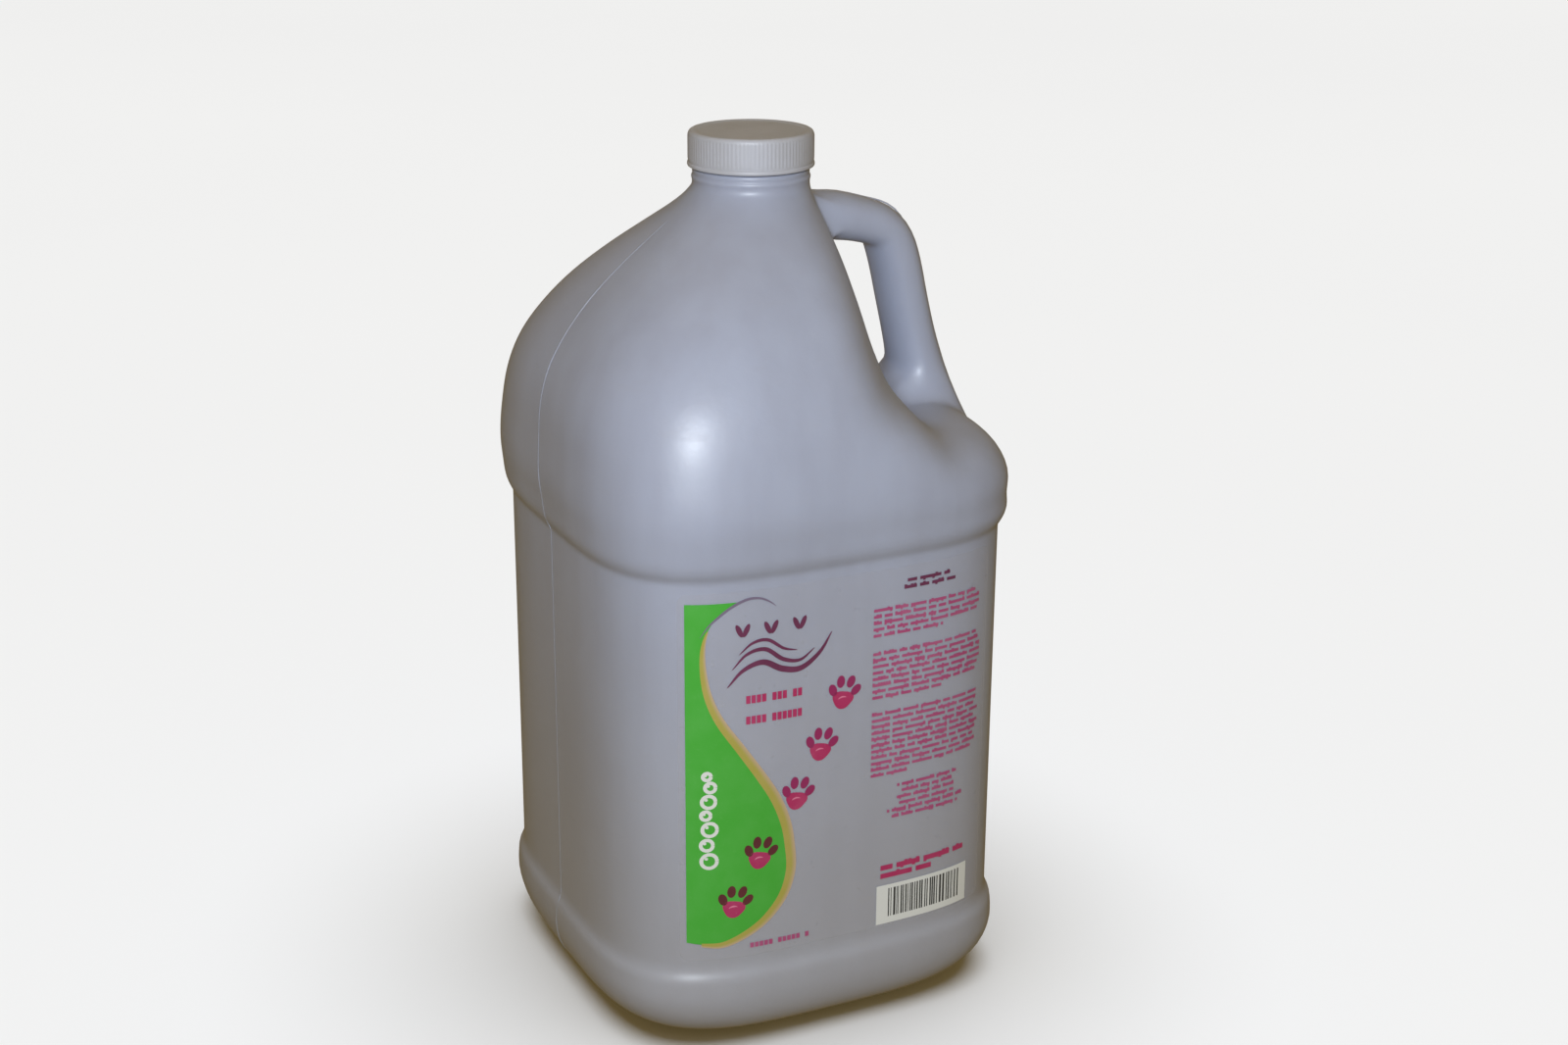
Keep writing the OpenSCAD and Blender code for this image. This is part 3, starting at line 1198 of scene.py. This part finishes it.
@dataclass
class SmallPrint:
    """A block of fine print with no words in it: rows of plain marks with gaps between groups.

    Attributes:
        name: the piece's name.
        left, right, top: where the block lies on the panel.
        lines: how many rows of marks it has.
        pitch: the height of a row.
        letter: the width of a mark.
        centred: whether the rows are centred and of uneven lengths.
        last_share: how much of its length the last row fills.
        joined: whether the marks of a group touch.
        tails: whether some marks are taller or hang lower.
        cover: the shares of a row's height that lie below, in and above a plain mark.
    """

    name: str
    left: float
    right: float
    top: float
    lines: int
    pitch: float = 1.9
    letter: float = 0.95
    centred: bool = False
    last_share: float = 0.6
    joined: bool = True
    tails: bool = True
    cover: tuple[float, float, float] = (0.20, 0.46, 0.16)

    def build(self, panel: Panel, lift: float, dice: random.Random) -> bpy.types.Object:
        """Build the block.

        Args:
            panel: what it is printed on.
            lift: how far its face stands off the panel.
            dice: the seeded numbers that choose the words.

        Returns:
            The block as one piece.
        """
        letters = max(4, round((self.right - self.left) / self.letter))
        marks = []
        for line in range(self.lines):
            share = self.last_share if line == self.lines - 1 else dice.uniform(0.93, 1.0)
            if self.centred:
                share *= dice.uniform(0.6, 1.0)
            used = max(3, int(letters * share))
            first = (letters - used) // 2 if self.centred else 0
            left_in_word = dice.randint(3, 8)
            for i in range(letters):
                inked = first <= i < first + used and left_in_word > 0
                left_in_word = left_in_word - 1 if left_in_word > 0 else dice.randint(3, 8)
                up, down = dice.random() < 0.3, dice.random() < 0.14
                marks.append((inked, up and self.tails, down and self.tails))
        rows, cols = 4 * self.lines, 2 * letters
        height = self.pitch * self.lines
        ups = [sum(self.cover[:i]) for i in range(4)] + [1.0]

        def wanted(u: float, v: float) -> bool:
            """Whether a cell is inked."""
            row, col = min(int(v * rows), rows - 1), min(int(u * cols), cols - 1)
            line, part = self.lines - 1 - row // 4, row % 4
            inked, up, down = marks[line * letters + col // 2]
            if not inked or part == 3 or (part == 0 and not down) or (part == 2 and not up):
                return False
            return col % 2 == 0 or (part == 1 and self.joined)

        def spot(u: float, v: float) -> Point:
            """The place of one grid point."""
            col, row = round(u * cols), round(v * rows)
            along_row = (col // 2 + (0.8 if col % 2 else 0.0)) / letters
            z = self.top - height + self.pitch * (row // 4 + ups[row % 4])
            return self.left + (self.right - self.left) * along_row, z

        sheet = Sheet(self.name, cols, rows)
        sheet.keep(wanted)
        sheet.lay(spot, panel, lift)
        return sheet.finished(0.04)


@dataclass
class Label:
    """The clear film and all that is printed on it."""

    panel: Panel
    half_width: float = 55.0
    foot: float = 33.2
    top: float = 159.8
    film: float = 0.2
    ink: float = 0.26
    paw_lean: float = -12.0
    wave: tuple[Point, ...] = (
        (-53.0, 40.0), (-47.0, 39.0), (-41.5, 39.0), (-34.0, 42.0), (-27.5, 46.5), (-22.0, 53.5),
        (-19.5, 62.0), (-20.0, 71.0), (-21.5, 79.0), (-25.0, 88.0), (-30.0, 96.5), (-36.5, 106.5),
        (-43.0, 116.5), (-46.5, 125.0), (-48.0, 133.5), (-48.0, 142.0), (-46.0, 148.5),
        (-42.0, 153.5), (-37.5, 156.5),
    )

    def build(self) -> None:
        """Build and dress the film and its print."""
        inks = self.inks()
        dice = random.Random(4)
        film = self.sheet_of_film()
        dress(film, ClearFilm().make(), Body.BOTTLE, Slot.LABEL)
        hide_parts("front_label")
        on_clear = ((-1.0, 120.1), (-8.8, 103.6), (-17.0, 88.0))
        on_green = ((-29.8, 69.4), (-38.3, 53.2))
        jobs = [
            (self.green_wave(), "green"),
            (self.gold_edge(), "gold"),
            (self.swoosh(), "plum"),
            (self.pads("paw_pads", on_clear + on_green), "crimson"),
            (self.toes("paw_toes_on_clear", on_clear), "plum_red"),
            (self.toes("paw_toes_on_green", on_green), "wine"),
            (self.paw_glints(on_clear + on_green), "pink"),
            (self.bubbles(), "white"),
            (self.emblem(), "maroon"),
            (self.flourish(), "maroon"),
            (self.barcode_box(), "white"),
            (self.bars(dice), "black"),
        ]
        jobs += [(block.build(self.panel, self.ink, dice), ink) for block, ink in self.blocks()]
        for piece, ink in jobs:
            dress(piece, inks[ink], Body.BOTTLE, Slot.LABEL)

    @staticmethod
    def inks() -> dict[str, bpy.types.Material]:
        """Mix the inks."""
        mixes = (
            Ink("ink_green", (0.050, 0.330, 0.035), (0.085, 0.370, 0.065)),
            Ink("ink_gold", (0.330, 0.290, 0.060), (0.40, 0.33, 0.12), edge=(0.42, 0.31, 0.20)),
            Ink("ink_crimson", (0.340, 0.020, 0.090), (0.42, 0.08, 0.17)),
            Ink("ink_wine", (0.085, 0.018, 0.025), (0.14, 0.03, 0.03)),
            Ink("ink_plum_red", (0.250, 0.018, 0.090), (0.18, 0.03, 0.09)),
            Ink("ink_maroon", (0.105, 0.022, 0.060), (0.20, 0.05, 0.12)),
            Ink("ink_plum", (0.150, 0.120, 0.180), (0.24, 0.21, 0.27)),
            Ink("ink_rose", (0.330, 0.055, 0.150), (0.40, 0.16, 0.26)),
            Ink("ink_pink", (0.560, 0.150, 0.250), (0.48, 0.20, 0.28)),
            Ink("ink_white", (0.600, 0.610, 0.590), (0.53, 0.55, 0.52), mottle=0.3),
            Ink("ink_black", (0.030, 0.032, 0.034), (0.07, 0.07, 0.07)),
        )
        return {ink.name.removeprefix("ink_"): ink.make() for ink in mixes}

    def blocks(self) -> list[tuple[SmallPrint, str]]:
        """All the fine print, with its inks."""
        left, right, pitch = 9.5, 52.5, 2.15
        return [
            (SmallPrint("print_header", 18, 42, 156.2, 2, 2.3, 1.15, True, 1.0), "maroon"),
            (SmallPrint("print_use", left, right, 147.5, 5, pitch), "rose"),
            (SmallPrint("print_care", left, right, 132.6, 8, pitch), "rose"),
            (SmallPrint("print_notes", left, right, 111.6, 11, pitch, last_share=0.35), "rose"),
            (SmallPrint("print_address", 14, 48, 85.2, 6, 2.2, 0.9, True, 0.8), "rose"),
            (
                SmallPrint("print_bold", 13.9, 48.3, 56.4, 2, 3.0, 1.5, cover=(0.14, 0.60, 0.14)),
                "crimson",
            ),
            (
                SmallPrint(
                    "print_product", -34.5, -13.5, 129.0, 2, 7.0, 1.75,
                    last_share=0.95, joined=False, tails=False, cover=(0.03, 0.38, 0.13),
                ),
                "crimson",
            ),
            (
                SmallPrint(
                    "print_volume", -33, -12, 39.2, 1, 3.4, 1.6,
                    last_share=1.0, joined=False, tails=False, cover=(0.1, 0.52, 0.2),
                ),
                "rose",
            ),
        ]

    def sheet_of_film(self) -> bpy.types.Object:
        """The film, with rounded corners."""
        sheet = Sheet("label_film_sheet", 64, 40)
        width, height, corner = self.half_width, self.top - self.foot, 3.0

        def spot(u: float, v: float) -> Point:
            """The place of one grid point, drawn in near the corners."""
            z = self.foot + height * (0.5 - 0.5 * math.cos(math.pi * v))
            near = min(z - self.foot, self.top - z)
            cut = 0.0 if near >= corner else corner - math.sqrt(corner**2 - (corner - near) ** 2)
            return (2 * u - 1) * (width - cut), z

        sheet.lay(spot, self.panel, self.film)
        return sheet.finished(0.18)

    def green_wave(self) -> bpy.types.Object:
        """The green field with its waved right edge."""
        sheet = Sheet("green_wave", 16, 90)
        turn = 3 / (len(self.wave) - 1)
        left_foot, left_top = Vector(self.wave[0]), Vector((self.wave[0][0], self.wave[-1][1]))
        right_foot, right_top = Vector(self.wave[3]), Vector(self.wave[-1])

        def spot(u: float, v: float) -> Point:
            """The place of one grid point, on a patch between four edges."""
            bottom, top = along(self.wave, turn * u), left_top.lerp(right_top, u)
            left, right = left_foot.lerp(left_top, v), along(self.wave, turn + (1 - turn) * v)
            corners = left_foot.lerp(right_foot, u).lerp(left_top.lerp(right_top, u), v)
            point = bottom.lerp(top, v) + left.lerp(right, u) - corners
            return point.x, point.y

        sheet.lay(spot, self.panel, self.ink)
        return sheet.finished()

    def gold_edge(self) -> bpy.types.Object:
        """The gold band along the wave."""
        sheet = Sheet("gold_edge", 120, 4)

        def spot(u: float, v: float) -> Point:
            """The place of one grid point."""
            t = 0.04 + 0.84 * u
            width = 3.6 * math.sin(math.pi * min(1.0, max(0.0, 0.06 + 0.93 * u))) ** 0.6
            point = along(self.wave, t) - across(self.wave, t) * (width * (v - 0.35))
            return point.x, point.y

        sheet.lay(spot, self.panel, self.ink + 0.02)
        return sheet.finished()

    def swoosh(self) -> bpy.types.Object:
        """The thin dark arc over the top of the wave."""
        line = ((-48.6, 145.6), (-46.2, 149.2), (-43.4, 151.9), (-40.2, 154.4), (-36.8, 156.2),
                (-33.4, 157.2), (-29.8, 156.9), (-26.6, 155.3), (-24.6, 153.6))
        return self.ribbon("swoosh_arc", line, 0.9)

    def ribbon(
        self, name: str, line: Sequence[Point], width: float, lift: float = 0.03, even: float = 0.12
    ) -> bpy.types.Object:
        """A pen stroke along a line.

        Args:
            name: its name.
            line: the points that it runs through.
            width: how broad it is in its middle.
            lift: how far it stands off the ink below.
            even: how broad its ends are, as a share of its middle.

        Returns:
            The stroke.
        """
        sheet = Sheet(name, 16 * len(line), 2)

        def spot(u: float, v: float) -> Point:
            """The place of one grid point."""
            thick = width * (even + (1 - even) * math.sin(math.pi * u) ** 0.8)
            point = along(line, u) + across(line, u) * (thick * (v - 0.5))
            return point.x, point.y

        sheet.lay(spot, self.panel, self.ink + lift)
        return sheet.finished()

    def disc(
        self, name: str, centre: Point, size: Point, tilt: float = 0.0, dent: float = 0.0
    ) -> bpy.types.Object:
        """A small inked spot.

        Args:
            name: its name until it is joined.
            centre: where it lies, as (x, z).
            size: its half width and half height.
            tilt: how far it leans, in degrees.
            dent: how far three lobes swell out of it, as a share.

        Returns:
            The spot.
        """
        put_down()
        bpy.ops.mesh.primitive_circle_add(vertices=28, radius=1.0, fill_type="TRIFAN")
        spot = bpy.context.active_object
        spot.name = name
        bpy.ops.object.mode_set(mode="EDIT")
        mesh = bmesh.from_edit_mesh(spot.data)
        lean = Matrix.Rotation(math.radians(tilt), 2)
        for vert in mesh.verts:
            angle = math.atan2(vert.co.y, vert.co.x)
            swell = 1 + dent * math.cos(3 * (angle - math.pi / 2) + math.pi)
            flat = lean @ Vector((vert.co.x * size[0] * swell, vert.co.y * size[1] * swell))
            vert.co = self.panel.at(centre[0] + flat.x, centre[1] + flat.y, self.ink + 0.06) * MM
        mesh.normal_update()
        turned_in = sum(face.normal.y for face in mesh.faces) > 0
        bmesh.update_edit_mesh(spot.data)
        if turned_in:
            bpy.ops.mesh.select_all(action="SELECT")
            bpy.ops.mesh.flip_normals()
        put_down()
        modify(spot, "SOLIDIFY", thickness=0.05 * MM, offset=-1.0)
        smooth(spot, 30)
        return spot

    def pads(self, name: str, centres: Sequence[Point]) -> bpy.types.Object:
        """The lobed pads of some paw prints, leaning a little to the right."""
        size, lobes = (3.7, 3.0), 0.10
        pads = [self.disc(name, (x - 0.2, z - 2.0), size, self.paw_lean, lobes) for x, z in centres]
        return join(pads, name)

    def toes(self, name: str, centres: Sequence[Point]) -> bpy.types.Object:
        """The four toes of each of some paw prints."""
        toes = ((-4.0, 0.9, 30), (-1.75, 3.9, 8), (1.9, 4.1, -12), (4.3, 1.5, -34))
        lean = Matrix.Rotation(math.radians(self.paw_lean), 2)
        spots = []
        for x, z in centres:
            for dx, dz, tilt in toes:
                toe = Vector((x, z)) + lean @ Vector((dx, dz))
                spots.append(self.disc(name, toe, (1.4, 2.1), tilt + self.paw_lean))
        return join(spots, name)

    def paw_glints(self, centres: Sequence[Point]) -> bpy.types.Object:
        """The pale glint on the upper edge of each pad."""
        turns = [0.9 + 0.2 * i for i in range(9)]
        glints = []
        for x, z in centres:
            line = [(x - 0.2 + 2.0 * math.cos(a), z - 2.6 + 1.5 * math.sin(a)) for a in turns]
            glints.append(self.ribbon("paw_glints", line, 0.55, 0.09))
        return join(glints, "paw_glints")

    def bubbles(self) -> bpy.types.Object:
        """A rising row of white bubbles, each with a small glint, on the green field."""
        middle, z, gap = -46.4, 66.0, 0.35
        turns = [math.tau * i / 12 for i in range(13)]
        sizes = (3.0, 2.3, 2.8, 1.8, 2.6, 2.0, 1.5)
        shifts = (0.2, -0.5, 0.4, -0.8, 0.1, 0.6, -0.4)
        spots = []
        for size, shift in zip(sizes, shifts):
            x, z, r = middle + shift, z + size, size * 0.8
            line = [(x + r * math.cos(a), z + r * math.sin(a)) for a in turns]
            spots.append(self.ribbon("white_bubbles", line, 1.15, 0.05, 1.0))
            spots.append(self.disc("white_bubbles", (x - size * 0.3, z + size * 0.3), (0.5, 0.5)))
            z += size + gap
        return join(spots, "white_bubbles")

    def emblem(self) -> bpy.types.Object:
        """Three small leaves in a row, where a maker would put a mark."""
        spots = [
            self.disc("leaf_emblem", (x + side * 1.15, 146.9), (0.85, 2.3), tilt)
            for x in (-35.6, -26.3, -16.6)
            for side, tilt in ((-1, 24), (1, -24))
        ]
        return join(spots, "leaf_emblem")

    def flourish(self) -> bpy.types.Object:
        """Three brushed strands that flow under the leaves."""
        strokes = (
            (((-40.5, 128.4), (-35.5, 133.6), (-29.0, 135.6), (-22.5, 132.4), (-16.0, 131.6),
              (-9.6, 135.8), (-5.4, 142.0)), 2.0),
            (((-39.0, 134.2), (-34.2, 138.9), (-28.2, 139.8), (-22.2, 135.6), (-16.4, 134.4),
              (-11.4, 137.6)), 1.4),
            (((-36.8, 139.0), (-32.4, 142.4), (-27.4, 142.8), (-22.0, 139.2), (-17.4, 137.9)), 1.1),
        )
        parts = [self.ribbon("flourish", line, width) for line, width in strokes]
        return join(parts, "flourish")

    def barcode_box(self) -> bpy.types.Object:
        """The white patch under the bar code."""
        sheet = Sheet("bar_code_patch", 24, 2)
        sheet.lay(lambda u, v: (12.6 + 36.0 * u, 34.0 + 14.2 * v), self.panel, self.ink)
        return sheet.finished()

    def bars(self, dice: random.Random) -> bpy.types.Object:
        """The bars, with plain random widths that say nothing."""
        left, right, count = 17.0, 45.6, 58
        widths = [dice.choice((0.3, 0.45, 0.6, 0.85)) for _ in range(count)]
        total = sum(widths)
        edges = [left + (right - left) * sum(widths[:i]) / total for i in range(count + 1)]
        sheet = Sheet("bar_code_bars", count, 2)
        sheet.keep(lambda u, v: int(u * count) % 2 == 0)
        sheet.lay(
            lambda u, v: (edges[round(u * count)], 36.4 + 10.4 * v), self.panel, self.ink + 0.04
        )
        return sheet.finished()


# ---- The studio ----


@dataclass
class Studio:
    """Floor, soft lights and camera."""

    azimuth: float = -25.2
    distance: float = 749.5
    height: float = 418.0
    pitch: float = 19.3
    roll: float = 0.12
    lens: float = 53.9
    shift: Point = (0.0216, -0.0019)
    aim: Point = (0.0, 0.15)
    glow: tuple[float, float, float] = (1.0, 0.72, 0.28)
    glow_strength: float = 0.235
    backdrop: tuple[float, float, float] = (0.86, 0.85, 0.83)
    wash: tuple[float, float, float] = (0.82, 0.89, 1.0)
    wash_power: float = 3.0

    def build(self) -> None:
        """Set up the camera, the lights and the floor."""
        self.camera()
        eye = self.eye()
        back = -1.3 * Vector((eye.x, eye.y, 0.0)).normalized() + Vector((0.0, 0.0, 0.36))
        bank = (
            ("key_light", eye + Vector((-0.03, 0.0, 0.07)), 0.15, 6.9, (0.84, 0.91, 1.0)),
            ("front_fill", eye + Vector((-0.25, -0.5, 0.7)), 1.4, 1.5, (0.85, 0.92, 1.0)),
            ("top_soft", Vector((0.1, 0.5, 2.2)), 2.0, 3.6, (1.0, 0.70, 0.30)),
            ("back_fill", back, 0.8, 12.0, (0.88, 0.93, 1.0)),
        )
        lamps = [self.lamp(*settings) for settings in bank]
        lamps[-1].visible_glossy = False
        self.room()
        self.floor(lamps)

    def eye(self) -> Vector:
        """The camera's place, in metres."""
        a = math.radians(self.azimuth)
        return Vector((math.sin(a) * self.distance, -math.cos(a) * self.distance, self.height)) * MM

    def room(self) -> None:
        """Fill the room with dim warm light, which the camera sees as a pale backdrop."""
        world = bpy.data.worlds.new("pale_room")
        world.use_nodes = True
        tree = world.node_tree
        tree.nodes.clear()
        shades = []
        for colour, strength in ((self.glow, self.glow_strength), (self.backdrop, 1.0)):
            shade = tree.nodes.new("ShaderNodeBackground")
            shade.inputs["Color"].default_value = (*colour, 1.0)
            shade.inputs["Strength"].default_value = strength
            shades.append(shade)
        seen = tree.nodes.new("ShaderNodeLightPath")
        both = tree.nodes.new("ShaderNodeMixShader")
        output = tree.nodes.new("ShaderNodeOutputWorld")
        tree.links.new(seen.outputs["Is Camera Ray"], both.inputs[0])
        tree.links.new(shades[0].outputs[0], both.inputs[1])
        tree.links.new(shades[1].outputs[0], both.inputs[2])
        tree.links.new(both.outputs[0], output.inputs["Surface"])
        bpy.context.scene.world = world
        bpy.context.scene.view_settings.view_transform = "Standard"

    def camera(self) -> None:
        """Put the camera in place."""
        put_down()
        bpy.ops.object.camera_add()
        camera = bpy.context.active_object
        camera.name = "camera"
        a = math.radians(self.azimuth)
        turn = (
            Matrix.Rotation(a, 4, "Z")
            @ Matrix.Rotation(math.radians(90 - self.pitch), 4, "X")
            @ Matrix.Rotation(math.radians(self.roll), 4, "Z")
        )
        camera.matrix_world = Matrix.Translation(self.eye()) @ turn
        camera.data.sensor_width = 36.0
        camera.data.lens = self.lens
        camera.data.shift_x, camera.data.shift_y = self.shift
        camera.data.clip_start, camera.data.clip_end = 0.01, 60.0
        bpy.context.scene.camera = camera

    def lamp(
        self, name: str, place: Vector, size: float, power: float, colour: Sequence[float]
    ) -> bpy.types.Object:
        """Hang one soft square light that faces the jug's middle.

        Args:
            name: the light's name.
            place: where it hangs, in metres.
            size: the length of its side.
            power: its strength in watts.
            colour: its colour.

        Returns:
            The light.
        """
        put_down()
        bpy.ops.object.light_add(type="AREA", location=place)
        lamp = bpy.context.active_object
        lamp.name = name
        aim = Vector((0.0, *self.aim))
        lamp.rotation_euler = (aim - place).to_track_quat("-Z", "Y").to_euler()
        lamp.data.size = size
        lamp.data.energy = power
        lamp.data.color = colour
        return lamp

    def floor(self, lamps: Sequence[bpy.types.Object]) -> None:
        """Lay the floor under an even light of its own, so that neither lights the jug.

        Args:
            lamps: the jug's own lights, which are kept off the floor.
        """
        put_down()
        bpy.ops.mesh.primitive_plane_add(size=40, location=(0, 0, 0))
        floor = bpy.context.active_object
        floor.name = "studio_floor"
        floor.data.materials.append(PaleFloor().make())
        floor.visible_diffuse = False
        floor.visible_glossy = False
        put_down()
        bpy.ops.object.light_add(type="SUN", location=(0, 0, 3))
        wash = bpy.context.active_object
        wash.name = "floor_wash"
        wash.data.energy = self.wash_power
        wash.data.color = self.wash
        wash.data.angle = math.radians(60)
        lit = bpy.data.collections.new("lit_by_wash")
        lit.objects.link(floor)
        wash.light_linking.receiver_collection = lit
        spared = bpy.data.collections.new("not_lit_by_lamps")
        spared.objects.link(floor)
        spared.collection_objects[0].light_linking.link_state = "EXCLUDE"
        for lamp in lamps:
            lamp.light_linking.receiver_collection = spared


def main() -> None:
    """Build the jug, its cap, its label and the studio, in that order."""
    logging.basicConfig(level=logging.INFO, format="%(name)s %(message)s")
    plastic = MilkyPlastic().make()
    thread = HelixThread("neck_thread", 17.45, 18.7, THREAD_FOOT, 0, 1.4)
    Bottle(JugShell(), thread).build(plastic)
    ScrewCap().build(CapPlastic().make(), FoamSheet().make())
    Label(Panel()).build()
    Studio().build()


if __name__ == "__main__":
    main()
